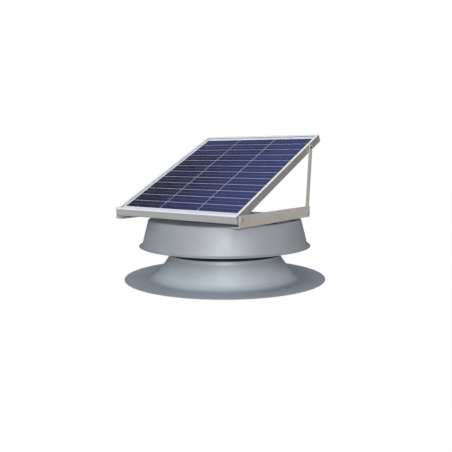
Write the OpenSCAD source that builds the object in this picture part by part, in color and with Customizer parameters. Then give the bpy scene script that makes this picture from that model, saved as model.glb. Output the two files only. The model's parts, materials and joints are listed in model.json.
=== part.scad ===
// Solar roof ventilator: a spun flashing and shroud, a motor and fan in the collar,
// and a framed solar panel that tilts on two rails.
// Millimetres. The origin is the centre of the brim's underside, +Z is up and the
// low edge of the panel faces -Y. The panel is drawn at its raised setting.

/* [Flashing] */
// Radius of the flat brim that lies on the roof
brim_r = 330; // [310:1:360]
// Sheet thickness of the flashing
flashing_t = 1.5; // [1:0.1:2]
// Outer radius of the upright collar round the fan
collar_r = 183.5; // [182:0.5:188]
// Height of the collar's rim
collar_top = 122; // [118:1:126]
// Height where the cone meets the collar
cone_top = 72; // [62:1:76]
// Lean of the cone from the vertical
cone_lean = 35; // [25:1:40]
// Radius of the curve from the brim into the cone
foot_curve_r = 45; // [20:1:60]
// Radius of the bend from the cone into the collar
collar_bend_r = 12; // [4:1:16]

/* [Shroud] */
// Height of the shroud's flat top
shroud_top = 196; // [194:1:208]
// Radius of the top before its corner is rounded
shroud_top_r = 250; // [246:0.5:256]
// Radius where the skirt turns out into the lip
skirt_r = 271; // [262:0.5:276]
// Height where the skirt turns out into the lip
skirt_bottom = 112.5; // [110:0.5:120]
// Radius of the lip's edge
lip_r = 281; // [279:0.5:295]
// Height of the lip's edge
lip_z = 108; // [100:0.5:109]
// Sheet thickness of the shroud
shroud_t = 1.5; // [1:0.1:2]
// Radius of the rounded top corner
shroud_corner_r = 7; // [3:0.5:9]
// Radius of the curve from the skirt into the lip
flare_r = 5; // [3:0.5:7]

/* [Shroud straps and screen] */
// Width of each strap that carries the shroud
strap_w = 30; // [24:1:36]
// Thickness of each strap
strap_t = 2; // [1.5:0.1:2.5]
// Height of the straps' lower ends
strap_foot_z = 98; // [97:0.5:100]
// How far a strap's top turns inwards
strap_reach = 36; // [32:1:44]
// Bend radius of the straps and of the motor bracket
strap_bend_r = 5; // [3:0.5:8]
// Width of a bar of the guard screen
screen_bar = 3; // [2:0.5:5]
// Thickness of the guard screen
screen_t = 1.2; // [0.8:0.1:1.6]
// Height of the guard screen's lower edge
screen_foot_z = 84; // [82:0.5:92]
// Number of upright bars in the guard screen
screen_bars = 48; // [24:4:60]

/* [Fasteners] */
// Radius of the rivets in sheet metal
rivet_r = 2.4; // [2:0.1:3]
// Height of a rivet head
rivet_head_h = 2; // [1.5:0.1:2.4]
// Radius of the bolts through the shroud and rails
bolt_r = 3; // [2.5:0.1:3.4]
// Clearance round a bolt in its hole
bolt_gap = 0.3; // [0.1:0.05:0.5]
// Height of a bolt head
bolt_head_h = 4; // [3:0.5:4.5]
// Radius of a bonded sealing washer
washer_r = 8; // [7:0.5:9]
// Thickness of a bonded sealing washer
washer_t = 1.6; // [1:0.1:2]

/* [Motor] */
// Radius of the motor's can
motor_r = 38; // [32:1:44]
// Length of the motor's front bell
bell_h = 10; // [9:0.5:12]
// Length of the motor's can
can_h = 41; // [36:1:46]
// Length of the motor's rear cap
cap_h = 8; // [7:0.5:10]
// Thickness of the motor bracket
bracket_t = 3; // [2.5:0.1:4]
// Width of the motor bracket's arms
bracket_w = 26; // [20:1:30]
// Radius of the motor bracket's round plate
bracket_plate_r = 48; // [45:1:60]
// Radius of the motor shaft
shaft_r = 4; // [3:0.5:5]
// Running gap between the shaft and its bearings
shaft_gap = 0.05; // [0.02:0.01:0.08]
// Outer radius of the bearings
bearing_r = 11; // [9:0.5:12]
// Height of the bearings
bearing_h = 6; // [5:0.5:7]

/* [Fan] */
// Gap between the blade tips and the collar
tip_gap = 4.2; // [3:0.1:8]
// Number of blades
blades = 5; // [5:1:5]
// Pitch of the blades
blade_pitch = 20; // [14:1:22]
// Radius of the blades' curve
camber_r = 180; // [150:5:260]
// Thickness of the blades
blade_t = 1.6; // [1:0.1:2]
// Widest half chord of a blade
blade_half_w = 46; // [38:1:48]
// Radius where the blades begin
blade_root_r = 42; // [38:1:50]
// Height of the middle of the fan
fan_z = 94; // [92:1:95]
// Radius of the fan's hub
hub_r = 22; // [18:1:24]
// Width of the spider's arms
spider_w = 22; // [18:1:26]
// Thickness of the spider
spider_t = 2; // [1.5:0.1:2.5]

/* [Panel] */
// Width of the panel across its low edge
panel_w = 463; // [450:1:480]
// Length of the panel up its slope
panel_l = 530; // [510:1:560]
// Depth of the panel's frame
frame_h = 24; // [22:0.5:26]
// Wall thickness of the frame's extrusion
frame_t = 1.6; // [1.4:0.1:2]
// Width of the frame's lip over the glass
frame_lip = 8; // [6:0.5:10]
// Width of the frame's bottom flange
frame_flange = 20; // [14:1:26]
// Thickness of the glass
glass_t = 3.2; // [3:0.1:4]
// Thickness of the tabbing ribbon
ribbon_t = 0.15; // [0.1:0.05:0.2]
// Thickness of the cells
cell_t = 0.3; // [0.2:0.05:0.4]
// Thickness of the backsheet
backsheet_t = 0.55; // [0.4:0.05:0.8]
// Gap between the laminate's edge and the frame's wall
laminate_gap = 0.5; // [0.3:0.1:1]
// Cells across the panel
cell_columns = 3; // [3:1:3]
// Cells up the panel
cell_rows = 12; // [12:1:12]
// Width of one cell
cell_w = 142.2; // [138:0.1:142.8]
// Length of one cell up the slope
cell_l = 37.2; // [35:0.1:37.6]
// Gap between columns of cells
column_gap = 3; // [1:0.1:3.5]
// Gap between rows of cells
row_gap = 3; // [1:0.1:3.5]
// Distance from the panel's low edge to the first row
cell_margin = 29; // [24:0.5:32]
// Width of a tabbing ribbon
ribbon_w = 1.6; // [1:0.1:3]

/* [Junction box] */
// Width of the junction box
box_w = 104; // [80:1:130]
// Length of the junction box up the slope
box_l = 78; // [60:1:100]
// Depth of the junction box without its lid
box_h = 14; // [13:0.5:14.5]
// Thickness of the junction box's lid
lid_h = 2; // [1.5:0.1:2.5]
// Distance of the junction box's middle from the panel's low edge
box_at = 430; // [400:1:450]
// Radius of the cable gland
gland_r = 6; // [5:0.5:6.5]
// Length of the cable gland
gland_l = 16; // [12:0.5:24]
// Radius of the gland's bore
gland_bore_r = 3; // [2:0.1:3.5]

/* [Rails and tilt] */
// Thickness of the rubber pads between the rails and the shroud
pad_t = 6; // [3:0.5:8]
// Radius of the rubber pads under the rails
pad_r = 10; // [8:0.5:10.5]
// Tilt of the panel at its raised setting
tilt = 26.3; // [20:0.1:30]
// Height of a rail's web
rail_h = 35.5; // [34:0.5:40]
// Width of a rail's bottom flange
rail_w = 25; // [23:0.5:30]
// Thickness of the rails
rail_t = 2.5; // [2:0.1:3]
// Distance of the rails' front ends from the fan's axis
rail_front = 258; // [255:1:275]
// Distance of the rails' rear ends from the fan's axis
rail_back = 142; // [141:1:160]
// Distance of the rail bolts from the rails' middle over the axis
rail_bolt_y = 55; // [40:1:62]
// Distance of the panel's hinge from the rails' front ends
hinge_inset = 10.7; // [10:0.1:14]
// Height of the panel's hinge above the rails' undersides
hinge_up = 22.8; // [22:0.1:25]
// Distance of the hinge from the panel's low edge
hinge_l = 11; // [10:0.5:13]
// Depth of the hinge below the panel's top
hinge_drop = 15.5; // [14.5:0.1:16]
// Radius of the hinge bolts
hinge_r = 3; // [2.5:0.1:3.2]
// Running gap between the hinge bolts and the panel's frame
hinge_gap = 0.05; // [0.02:0.01:0.08]
// Width of a strut
strut_w = 20; // [18:0.5:22]
// Thickness of a strut
strut_t = 2.5; // [2:0.1:3]
// Distance of a strut's pivot from the rails' rear ends
strut_inset = 12; // [11:0.5:16]
// Distance of a strut's top screw from the panel's low edge
strut_at = 456; // [440:1:480]
// Radius of a strut's pivot rivet
pivot_r = 3; // [2.5:0.1:3.5]
// Gap between parts that slide past each other
slide_gap = 0.4; // [0.3:0.05:0.5]
// Play under the pivot rivet's flat tail
play = 0.1; // [0.05:0.05:0.15]
// Thickness of the pivot rivet's flat tail
tail_t = 1.2; // [1:0.1:1.5]

/* [Wire grommet] */
// Radius of the hole that the grommet lines
grommet_hole_r = 8; // [6:0.5:9]
// Radius of the grommet's bore
grommet_bore_r = 4; // [3:0.5:5]
// Distance of the grommet behind the fan's axis
grommet_y = 120; // [100:1:130]

/* [Hidden] */

$fn = 96;
eps = 0.01;
arc_steps = 9;
right_side = 1;
left_side = -1;

// Heights that follow from the shroud, the collar and the motor
shroud_under = shroud_top - shroud_t;
rim_gap = strap_bend_r - bracket_t / 2;
bracket_z = collar_top + rim_gap;
motor_z = bracket_z + bracket_t;
can_z = motor_z + bell_h;
cap_z = can_z + can_h;
strap_angles = [-45, 45, 135, 225];
bracket_angles = [0, 90, 180, 270];
strap_bolt_r = collar_r + strap_t - strap_reach / 2;
strap_rivet_up = [6, 16];
strap_rivet_z = [for (up = strap_rivet_up) strap_foot_z + up];
bracket_drop = 22;
bracket_rivet_drop = [17, 7];
bracket_foot_z = collar_top - bracket_drop;
bracket_rivet_z = [for (drop = bracket_rivet_drop) collar_top - drop];
screen_clear = 3.5;
screen_r = collar_r + bracket_t + rivet_head_h + screen_clear;
screen_top = shroud_under - slide_gap;
head_ratio = 1.9;
head_r = bolt_r * head_ratio;
rivet_head_r = rivet_r * head_ratio;
nut_h = bolt_r * 1.5;

// Sheet metal seats: a nut lies under the sheet, a head on top of it
hex_sides = 6;

// Motor and fan
shaft_bore_gap = 0.5;
shaft_foot = fan_z - 12;
shaft_head = cap_z + bearing_h - 1;
screw_r = 2;
screw_circle_r = 24;
screw_depth = 6;
bell_step = 3;
hub_neck_r = hub_r - 8;
hub_foot = fan_z - 11;
hub_head = fan_z + 15;
spider_r = hub_r + 6;
fan_r = collar_r - flashing_t - tip_gap;
spider_arm_in = hub_r + slide_gap;
blade_corner_r = 14;
blade_rivet_in = [9, 26];
blade_rivet_at = [for (in = blade_rivet_in) blade_root_r + in];
spider_reach = max(blade_rivet_at) + 13;
blade_clear = fan_r / 3;
set_screw_r = 2.5;

// Panel
laminate_t = glass_t + ribbon_t + cell_t + backsheet_t;
groove_lip_t = 1.4;
groove_floor = frame_t + laminate_t;
key_t = 1.4;
key_l = 30;
trim_groove_w = 0.8;
trim_groove_d = 0.4;
trim_groove_at = [7.2, 9.8];
laminate_w = panel_w - 2 * (frame_t + laminate_gap);
laminate_l = panel_l - 2 * (frame_t + laminate_gap);
ribbon_top = frame_t + glass_t;
cell_top = ribbon_top + ribbon_t;
backsheet_top = cell_top + cell_t;
box_top = frame_t + laminate_t;
field_w = cell_columns * cell_w + (cell_columns - 1) * column_gap;
lid_lip = 2;
box_r = 6;
gland_nut_r = gland_r + 0.8;
gland_nut_l = 5;
gland_drop = box_top + box_h / 2 + 0.4;

// Layers beside the panel, from its side outwards: rivet tail, strut, rail web
side_x = panel_w / 2;
strut_x = side_x + slide_gap + tail_t;
web_x = strut_x + strut_t + slide_gap - play;
web_out = web_x + rail_t;
rail_in = web_out - rail_w;
rail_seat = shroud_top + pad_t;
rail_floor = rail_seat + rail_t;
rail_bolt_x = rail_in + washer_r + 1.5;
hinge_y = -rail_front + hinge_inset;
hinge_z = rail_seat + hinge_up;
hinge_head_h = 4;
hinge_nut_h = 4.2;
foot_y = rail_back - strut_inset;
foot_z = rail_floor + strut_w / 2 + 0.3;
strut_drop = frame_h / 2;
pivot_head_r = 6;
pivot_head_h = 2.4;
screw_top_r = 2.5;
screw_head_r = 4.6;
screw_head_h = 2;

// A point of the panel, given by its distance up the slope and its depth, as [y, z]
function panel_point(up, depth) = [
    hinge_y + (up - hinge_l) * cos(tilt) + (depth - hinge_drop) * sin(tilt),
    hinge_z + (up - hinge_l) * sin(tilt) - (depth - hinge_drop) * cos(tilt)
];
strut_head = panel_point(strut_at, strut_drop);
strut_vector = strut_head - [foot_y, foot_z];
strut_span = norm(strut_vector);
strut_angle = atan2(strut_vector[1], strut_vector[0]);

// Unit vector along v
function unit(v) = v / norm(v);
// Left normal of v
function left_normal(v) = [-v[1], v[0]];
// The angle a brought into the range from -180 to 180
function wrap(a) = a - 360 * floor((a + 180) / 360);

// Points of the arc of radius r that rounds the corner b between a and c
function corner_arc(a, b, c, r) =
    let (u = unit(a - b), v = unit(c - b))
    let (half = acos(u * v) / 2, middle = b + unit(u + v) * r / sin(half))
    let (p = b + u * r / tan(half) - middle, q = b + v * r / tan(half) - middle)
    let (start = atan2(p[1], p[0]), sweep = wrap(atan2(q[1], q[0]) - start))
    [for (i = [0 : arc_steps]) middle + r * [cos(start + sweep * i / arc_steps),
                                              sin(start + sweep * i / arc_steps)]];

// An open path with its inner corners rounded, one radius for each inner corner
function rounded_path(points, radii) = concat(
    [points[0]],
    [for (i = [1 : len(points) - 2], p = corner_arc(points[i - 1], points[i], points[i + 1], radii[i - 1])) p],
    [points[len(points) - 1]]
);

// Offset of point i of a path to its left by d, mitred between its two segments
function path_offset(path, i, d) =
    let (last = len(path) - 1)
    let (before = unit(path[max(i, 1)] - path[max(i, 1) - 1]))
    let (after = unit(path[min(i, last - 1) + 1] - path[min(i, last - 1)]))
    let (n = unit(left_normal(before) + left_normal(after)))
    path[i] + n * d / (n * left_normal(before));

// A strip of thickness t that follows a path, lying half on each side of it
module sheet_profile(path, t) {
    last = len(path) - 1;
    polygon(concat(
        [for (i = [0 : last]) path_offset(path, i, t / 2)],
        [for (i = [last : -1 : 0]) path_offset(path, i, -t / 2)]
    ));
}

// A closed outline with every corner rounded by the same radius
module rounded_outline(points, r) {
    n = len(points);
    polygon([for (i = [0 : n - 1], p = corner_arc(points[(i + n - 1) % n], points[i], points[(i + 1) % n], r)) p]);
}

// A plain hole or rod along Z, long enough to pass through at both ends
module rod(r, low, high) {
    translate([0, 0, low]) cylinder(r = r, h = high - low);
}

// A radial rod at angle a and height z, from radius r0 to radius r1
module radial_rod(a, z, r, r0, r1) {
    rotate([0, 0, a]) translate([r0, 0, z]) rotate([0, 90, 0]) cylinder(r = r, h = r1 - r0);
}

// Something drawn along +X from the right side plane, copied to one side of the object
module on_side(side) {
    if (side < 0) mirror([1, 0, 0]) children();
    else children();
}

// A rod along X at the point [y, z], from x0 to x1
module cross_rod(at, r, x0, x1) {
    translate([x0, at[0], at[1]]) rotate([0, 90, 0]) cylinder(r = r, h = x1 - x0);
}

// Local space of the panel: X across, Y up the slope, Z out of the glass from the frame's top
module on_panel() {
    translate([0, hinge_y, hinge_z])
        rotate([tilt, 0, 0])
            translate([0, -hinge_l, hinge_drop])
                children();
}

// Bolt positions on the shroud's top
module at_strap_bolts() {
    for (a = strap_angles) rotate([0, 0, a]) translate([strap_bolt_r, 0, 0]) children();
}
module at_rail_bolts(side) {
    for (y = [-rail_bolt_y, rail_bolt_y]) translate([side * rail_bolt_x, y, 0]) children();
}

// Hexagon bolt that hangs down from its seat at height z
module hex_bolt(z, length) {
    translate([0, 0, z]) cylinder(r = head_r, h = bolt_head_h, $fn = hex_sides);
    rod(bolt_r, z - length, z + eps);
}
module hex_nut(z) {
    difference() {
        translate([0, 0, z - nut_h]) cylinder(r = head_r, h = nut_h, $fn = hex_sides);
        rod(bolt_r, z - nut_h - 1, z + 1);
    }
}
module flat_ring(r_out, r_in, low, high) {
    difference() {
        rod(r_out, low, high);
        rod(r_in, low - 1, high + 1);
    }
}

// Flashing: flat brim, curved foot, cone and upright collar from one spun sheet
module flashing() {
    mid = flashing_t / 2;
    rim_r = collar_r - mid;
    foot_r = rim_r + (cone_top - mid) * tan(cone_lean);
    path = rounded_path([[brim_r, mid], [foot_r, mid], [rim_r, cone_top], [rim_r, collar_top]],
                        [foot_curve_r, collar_bend_r]);
    color("lightslategray")
    difference() {
        rotate_extrude($fn = 180) sheet_profile(path, flashing_t);
        for (a = strap_angles, z = strap_rivet_z) radial_rod(a, z, rivet_r, rim_r - 5, rim_r + 5);
        for (a = bracket_angles, z = bracket_rivet_z) radial_rod(a, z, rivet_r, rim_r - 5, rim_r + 5);
    }
}

// Shroud: flat top, rounded corner, conical skirt and flared lip
module shroud() {
    mid = shroud_t / 2;
    path = rounded_path([[0, shroud_top - mid], [shroud_top_r - mid, shroud_top - mid],
                         [skirt_r - mid, skirt_bottom], [lip_r, lip_z + mid]],
                        [shroud_corner_r, flare_r]);
    color("slategray")
    difference() {
        rotate_extrude($fn = 180) sheet_profile(path, shroud_t);
        at_strap_bolts() rod(bolt_r + bolt_gap, shroud_under - 1, shroud_top + 1);
        for (side = [left_side, right_side])
            at_rail_bolts(side) rod(bolt_r + bolt_gap, shroud_under - 1, shroud_top + 1);
        translate([0, grommet_y, 0]) rod(grommet_hole_r, shroud_under - 1, shroud_top + 1);
    }
}

// Guard screen: slotted black band round the gap between the collar and the shroud's top
module guard_screen() {
    pitch = 360 / screen_bars;
    slot_w = 2 * PI * screen_r / screen_bars - screen_bar;
    bands = 3;
    band_h = (screen_top - screen_foot_z - screen_bar * (bands + 1)) / bands;
    color([0.05, 0.05, 0.05])
    union() {
        difference() {
            flat_ring(screen_r + screen_t, screen_r, screen_foot_z, screen_top);
            for (i = [0 : screen_bars - 1], j = [0 : bands - 1])
                rotate([0, 0, (i + 0.5) * pitch])
                    translate([screen_r - 1, -slot_w / 2, screen_foot_z + screen_bar + j * (band_h + screen_bar)])
                        cube([screen_t + 2, slot_w, band_h]);
        }
        flat_ring(screen_r + eps, collar_r, screen_foot_z, screen_foot_z + screen_t);
    }
}

// Strap number i: riveted to the collar, bolted under the shroud's top
module strap(i) {
    r = collar_r + strap_t / 2;
    z = shroud_under - strap_t / 2;
    path = rounded_path([[r, strap_foot_z], [r, z], [collar_r + strap_t - strap_reach, z]], [strap_bend_r]);
    color("silver")
    rotate([0, 0, strap_angles[i]])
        difference() {
            rotate([90, 0, 0])
                translate([0, 0, -strap_w / 2])
                    linear_extrude(strap_w) sheet_profile(path, strap_t);
            for (rivet_z = strap_rivet_z) radial_rod(0, rivet_z, rivet_r, collar_r - 2, collar_r + strap_t + 2);
            translate([strap_bolt_r, 0, 0]) rod(bolt_r + bolt_gap, z - strap_t, z + strap_t);
        }
}

// One rivet through the collar at angle a and height z, its outer head at radius r_out
module collar_rivet(a, z, r_out) {
    r_in = sqrt(pow(collar_r - flashing_t, 2) - pow(rivet_head_r, 2));
    radial_rod(a, z, rivet_r, r_in, r_out + eps);
    radial_rod(a, z, rivet_head_r, r_out, r_out + rivet_head_h);
    radial_rod(a, z, rivet_head_r, r_in - rivet_head_h / 2, r_in);
}
module strap_rivets() {
    color("gainsboro") for (a = strap_angles, z = strap_rivet_z) collar_rivet(a, z, collar_r + strap_t);
}
module bracket_rivets() {
    color("gainsboro") for (a = bracket_angles, z = bracket_rivet_z) collar_rivet(a, z, collar_r + bracket_t);
}

module shroud_bolts() {
    seat = shroud_top + washer_t;
    color("silver") at_strap_bolts() hex_bolt(seat, seat - shroud_under + strap_t + nut_h + 2);
}
module shroud_washers() {
    color([0.1, 0.1, 0.1])
    at_strap_bolts() flat_ring(washer_r, bolt_r, shroud_top, shroud_top + washer_t);
}
module shroud_nuts() {
    color("silver") at_strap_bolts() hex_nut(shroud_under - strap_t);
}

// Grommet for the panel's lead: a groove round its waist grips the shroud's top
module wire_grommet() {
    flange_r = grommet_hole_r + 3;
    flange_h = 2.5;
    color([0.08, 0.08, 0.08])
    translate([0, grommet_y, 0])
        difference() {
            union() {
                rod(grommet_hole_r, shroud_under, shroud_top);
                rod(flange_r, shroud_top, shroud_top + flange_h);
                rod(flange_r, shroud_under - flange_h, shroud_under);
            }
            rod(grommet_bore_r, shroud_under - flange_h - 1, shroud_top + flange_h + 1);
        }
}

// Motor bracket: round plate with four arms that step over the collar's rim
module motor_bracket() {
    r = collar_r + bracket_t / 2;
    z = bracket_z + bracket_t / 2;
    path = rounded_path([[r, bracket_foot_z], [r, z], [0, z]], [strap_bend_r]);
    color("dimgray")
    difference() {
        union() {
            rod(bracket_plate_r, bracket_z, bracket_z + bracket_t);
            for (a = bracket_angles)
                rotate([0, 0, a])
                    rotate([90, 0, 0])
                        translate([0, 0, -bracket_w / 2])
                            linear_extrude(bracket_w) sheet_profile(path, bracket_t);
        }
        rod(bearing_r - 2, bracket_z - 1, motor_z + 1);
        for (a = bracket_angles, z = bracket_rivet_z)
            radial_rod(a, z, rivet_r, collar_r - 2, collar_r + bracket_t + 2);
        for (a = bracket_angles)
            rotate([0, 0, a + 45]) translate([screw_circle_r, 0, 0]) rod(screw_r, bracket_z - 1, motor_z + 1);
    }
}

// Motor: front bell, can and rear cap, with a bearing at each end
module motor_bell() {
    color("silver")
    difference() {
        union() {
            rod(motor_r, motor_z + bell_step, can_z);
            rod(motor_r - bell_step, motor_z, motor_z + bell_step + eps);
        }
        rod(bearing_r, motor_z - 1, motor_z + bearing_h);
        rod(shaft_r + shaft_bore_gap, motor_z, can_z + 1);
        for (a = bracket_angles)
            rotate([0, 0, a + 45]) translate([screw_circle_r, 0, 0]) rod(screw_r, motor_z - 1, motor_z + screw_depth);
    }
}
module motor_can() {
    color("dimgray") flat_ring(motor_r - 0.5, shaft_r + shaft_bore_gap, can_z, cap_z);
}
module motor_cap() {
    color([0.15, 0.15, 0.15])
    difference() {
        rotate_extrude() polygon([[0, cap_z], [motor_r, cap_z], [motor_r, cap_z + cap_h - 4],
                                  [motor_r - 4, cap_z + cap_h], [0, cap_z + cap_h]]);
        rod(bearing_r, cap_z - 1, cap_z + bearing_h);
    }
}
module front_bearing() {
    color("gainsboro") flat_ring(bearing_r, shaft_r + shaft_gap, motor_z, motor_z + bearing_h);
}
module rear_bearing() {
    color("gainsboro") flat_ring(bearing_r, shaft_r + shaft_gap, cap_z, cap_z + bearing_h);
}
module motor_screws() {
    color("silver")
    for (a = bracket_angles)
        rotate([0, 0, a + 45])
            translate([screw_circle_r, 0, 0]) {
                rod(screw_r, bracket_z - eps, motor_z + screw_depth);
                rod(screw_r * 1.8, bracket_z - 2.4, bracket_z);
            }
}

module motor_shaft() {
    color("gainsboro") rod(shaft_r, shaft_foot, shaft_head);
}

// Fan hub: clamped on the shaft, with a neck that carries the spider
module fan_hub() {
    color("silver")
    difference() {
        union() {
            rod(hub_r, hub_foot, fan_z - spider_t / 2);
            rod(hub_neck_r, hub_foot, hub_head);
        }
        rod(shaft_r, hub_foot - 1, hub_head + 1);
        radial_rod(0, hub_foot + 5, set_screw_r, shaft_r - 1, hub_r + 1);
    }
}
module hub_screw() {
    color("dimgray") radial_rod(0, hub_foot + 5, set_screw_r, shaft_r, hub_r - 1);
}

// Local space of blade i: X along the blade, Z out of its back
module on_blade(i) {
    rotate([0, 0, i * 360 / blades]) translate([0, 0, fan_z]) rotate([blade_pitch, 0, 0]) children();
}
// Rivet holes and shanks of one blade
module at_blade_rivets() {
    for (x = blade_rivet_at) translate([x, 0, 0]) children();
}

module fan_spider() {
    color("silver")
    difference() {
        union() {
            rod(spider_r, fan_z - spider_t / 2, fan_z + spider_t / 2);
            for (i = [0 : blades - 1])
                on_blade(i)
                    translate([spider_arm_in, -spider_w / 2, -spider_t / 2])
                        cube([spider_reach - spider_arm_in, spider_w, spider_t]);
        }
        rod(hub_neck_r, fan_z - hub_r, fan_z + hub_r);
        for (i = [0 : blades - 1]) on_blade(i) at_blade_rivets() rod(rivet_r, -5, 5);
    }
}

// Blade i: a plate rolled to a curve, cut to a rounded outline and to the tip circle
module blade(i) {
    back = spider_t / 2;
    reach = fan_r + blade_clear;
    widest = fan_r * 0.6;
    tip_half = blade_half_w * 0.9;
    root_half = blade_half_w * 0.62;
    outline = [[blade_root_r, -root_half], [widest, -blade_half_w], [reach, -tip_half],
               [reach, tip_half], [widest, blade_half_w * 0.85], [blade_root_r, root_half * 0.85]];
    color("gainsboro")
    intersection() {
        on_blade(i)
            difference() {
                intersection() {
                    translate([0, 0, back + blade_t + camber_r])
                        rotate([0, 90, 0])
                            flat_ring(camber_r + blade_t, camber_r, 0, reach);
                    translate([0, 0, -1]) linear_extrude(blade_clear) rounded_outline(outline, blade_corner_r);
                }
                at_blade_rivets() rod(rivet_r, -2, 10);
            }
        rod(fan_r, fan_z - blade_clear, fan_z + blade_clear);
    }
}
module blade_rivets() {
    back = spider_t / 2;
    color("silver")
    for (i = [0 : blades - 1])
        on_blade(i)
            at_blade_rivets() {
                rod(rivet_r, -back - eps, back + blade_t + 0.1);
                rod(rivet_head_r, -back - rivet_head_h, -back);
                rod(rivet_head_r, back + blade_t + 0.1, back + blade_t + rivet_head_h);
            }
}

// Rail on one side: an angle whose flange lies on the shroud's top
module rail(side) {
    length = rail_front + rail_back;
    color("tan")
    on_side(side)
        difference() {
            union() {
                translate([web_x, -rail_front, rail_seat]) cube([rail_t, length, rail_h]);
                translate([rail_in, -rail_front, rail_seat]) cube([rail_w, length, rail_t]);
            }
            at_rail_bolts(right_side) rod(bolt_r + bolt_gap, rail_seat - 1, rail_floor + 1);
            cross_rod([hinge_y, hinge_z], hinge_r + hinge_gap, web_x - 1, web_out + 1);
            cross_rod([foot_y, foot_z], pivot_r, web_x - 1, web_out + 1);
        }
}
module rail_pads() {
    color([0.1, 0.1, 0.1])
    for (side = [left_side, right_side])
        at_rail_bolts(side) flat_ring(pad_r, bolt_r, shroud_top, rail_seat);
}
module rail_bolts() {
    seat = rail_floor + washer_t;
    color("silver")
    for (side = [left_side, right_side])
        at_rail_bolts(side) hex_bolt(seat, seat - shroud_under + nut_h + 2);
}
module rail_washers() {
    color([0.1, 0.1, 0.1])
    for (side = [left_side, right_side])
        at_rail_bolts(side) flat_ring(washer_r, bolt_r, rail_floor, rail_floor + washer_t);
}
module rail_nuts() {
    color("silver") for (side = [left_side, right_side]) at_rail_bolts(side) hex_nut(shroud_under);
}

// Hinge of the panel: bolt through the rail's web, spacer, frame wall and nut
module hinge_bolts() {
    at = [hinge_y, hinge_z];
    nut_in = side_x - frame_t - slide_gap - hinge_nut_h;
    color("silver")
    for (side = [left_side, right_side])
        on_side(side) {
            cross_rod(at, hinge_r, nut_in - 1, web_out + eps);
            translate([web_out, at[0], at[1]])
                rotate([0, 90, 0])
                    cylinder(r = hinge_r * 1.9, h = hinge_head_h, $fn = hex_sides);
        }
}
module hinge_spacers() {
    at = [hinge_y, hinge_z];
    color("gainsboro")
    for (side = [left_side, right_side])
        on_side(side)
            difference() {
                cross_rod(at, hinge_r * 2.2, side_x + slide_gap / 2, web_x);
                cross_rod(at, hinge_r + hinge_gap, side_x - 1, web_x + 1);
            }
}
module hinge_nuts() {
    at = [hinge_y, hinge_z];
    nut_out = side_x - frame_t - slide_gap;
    color("silver")
    for (side = [left_side, right_side])
        on_side(side)
            difference() {
                translate([nut_out - hinge_nut_h, at[0], at[1]])
                    rotate([0, 90, 0])
                        cylinder(r = hinge_r * 1.9, h = hinge_nut_h, $fn = hex_sides);
                cross_rod(at, hinge_r, nut_out - hinge_nut_h - 1, nut_out + 1);
            }
}

// Rivets that the struts swing on, fixed in the rails' webs
module pivot_rivets() {
    at = [foot_y, foot_z];
    color("silver")
    for (side = [left_side, right_side])
        on_side(side) {
            cross_rod(at, pivot_r, strut_x - tail_t, web_out + eps);
            cross_rod(at, pivot_head_r, web_out, web_out + pivot_head_h);
            cross_rod(at, pivot_head_r, strut_x - tail_t, strut_x - play);
        }
}

// Strut on one side: flat bar with round ends, standing between the rail and the panel
module strut(side) {
    end_r = strut_w / 2;
    color("darkgray")
    on_side(side)
        difference() {
            translate([strut_x, foot_y, foot_z])
                rotate([strut_angle, 0, 0])
                    union() {
                        translate([0, 0, -end_r]) cube([strut_t, strut_span, strut_w]);
                        cross_rod([0, 0], end_r, 0, strut_t);
                        cross_rod([strut_span, 0], end_r, 0, strut_t);
                    }
            cross_rod([foot_y, foot_z], pivot_r + hinge_gap, strut_x - 1, strut_x + strut_t + 1);
            strut_screw_shape();
        }
}
// Countersunk screw at the strut's head; its tip stays clear of the panel's frame
module strut_screw_shape() {
    out = strut_x + strut_t;
    cross_rod(strut_head, screw_top_r, side_x + slide_gap, out);
    translate([out - screw_head_h, strut_head[0], strut_head[1]])
        rotate([0, 90, 0])
            cylinder(r1 = screw_top_r, r2 = screw_head_r, h = screw_head_h);
}
module strut_screw(side) {
    color("gainsboro") on_side(side) strut_screw_shape();
}

// Cross-section of the frame: X inwards from the outer face, Y up from the bottom
module frame_section() {
    difference() {
        union() {
            square([frame_t, frame_h]);
            translate([0, frame_h - frame_t]) square([frame_lip, frame_t]);
            translate([0, frame_h - groove_floor - groove_lip_t]) square([frame_lip, groove_lip_t]);
            square([frame_flange, frame_t]);
        }
        for (depth = trim_groove_at)
            translate([-1, frame_h - depth - trim_groove_w])
                square([1 + trim_groove_d, trim_groove_w]);
    }
}
// A bar of the frame along +X, mitred at both ends, with its outer face on Y = 0
module frame_bar(length) {
    cut = frame_flange + 1;
    intersection() {
        translate([0, 0, -frame_h])
            rotate([90, 0, 90])
                linear_extrude(length) frame_section();
        translate([0, 0, -frame_h - 1])
            linear_extrude(frame_h + 2)
                polygon([[0, 0], [length, 0], [length - cut, cut], [cut, cut]]);
    }
}
module frame_front() {
    color("silver") on_panel() translate([-side_x, 0, 0]) frame_bar(panel_w);
}
module frame_rear() {
    color("silver") on_panel() translate([side_x, panel_l, 0]) rotate([0, 0, 180]) frame_bar(panel_w);
}
module frame_side(side) {
    color("silver")
    difference() {
        on_side(side) on_panel() translate([side_x, 0, 0]) rotate([0, 0, 90]) frame_bar(panel_l);
        on_side(side) cross_rod([hinge_y, hinge_z], hinge_r + hinge_gap, side_x - frame_t - 1, side_x + 1);
        on_side(side) cross_rod(strut_head, screw_top_r, side_x - frame_t - 1, side_x + 1);
    }
}

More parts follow.
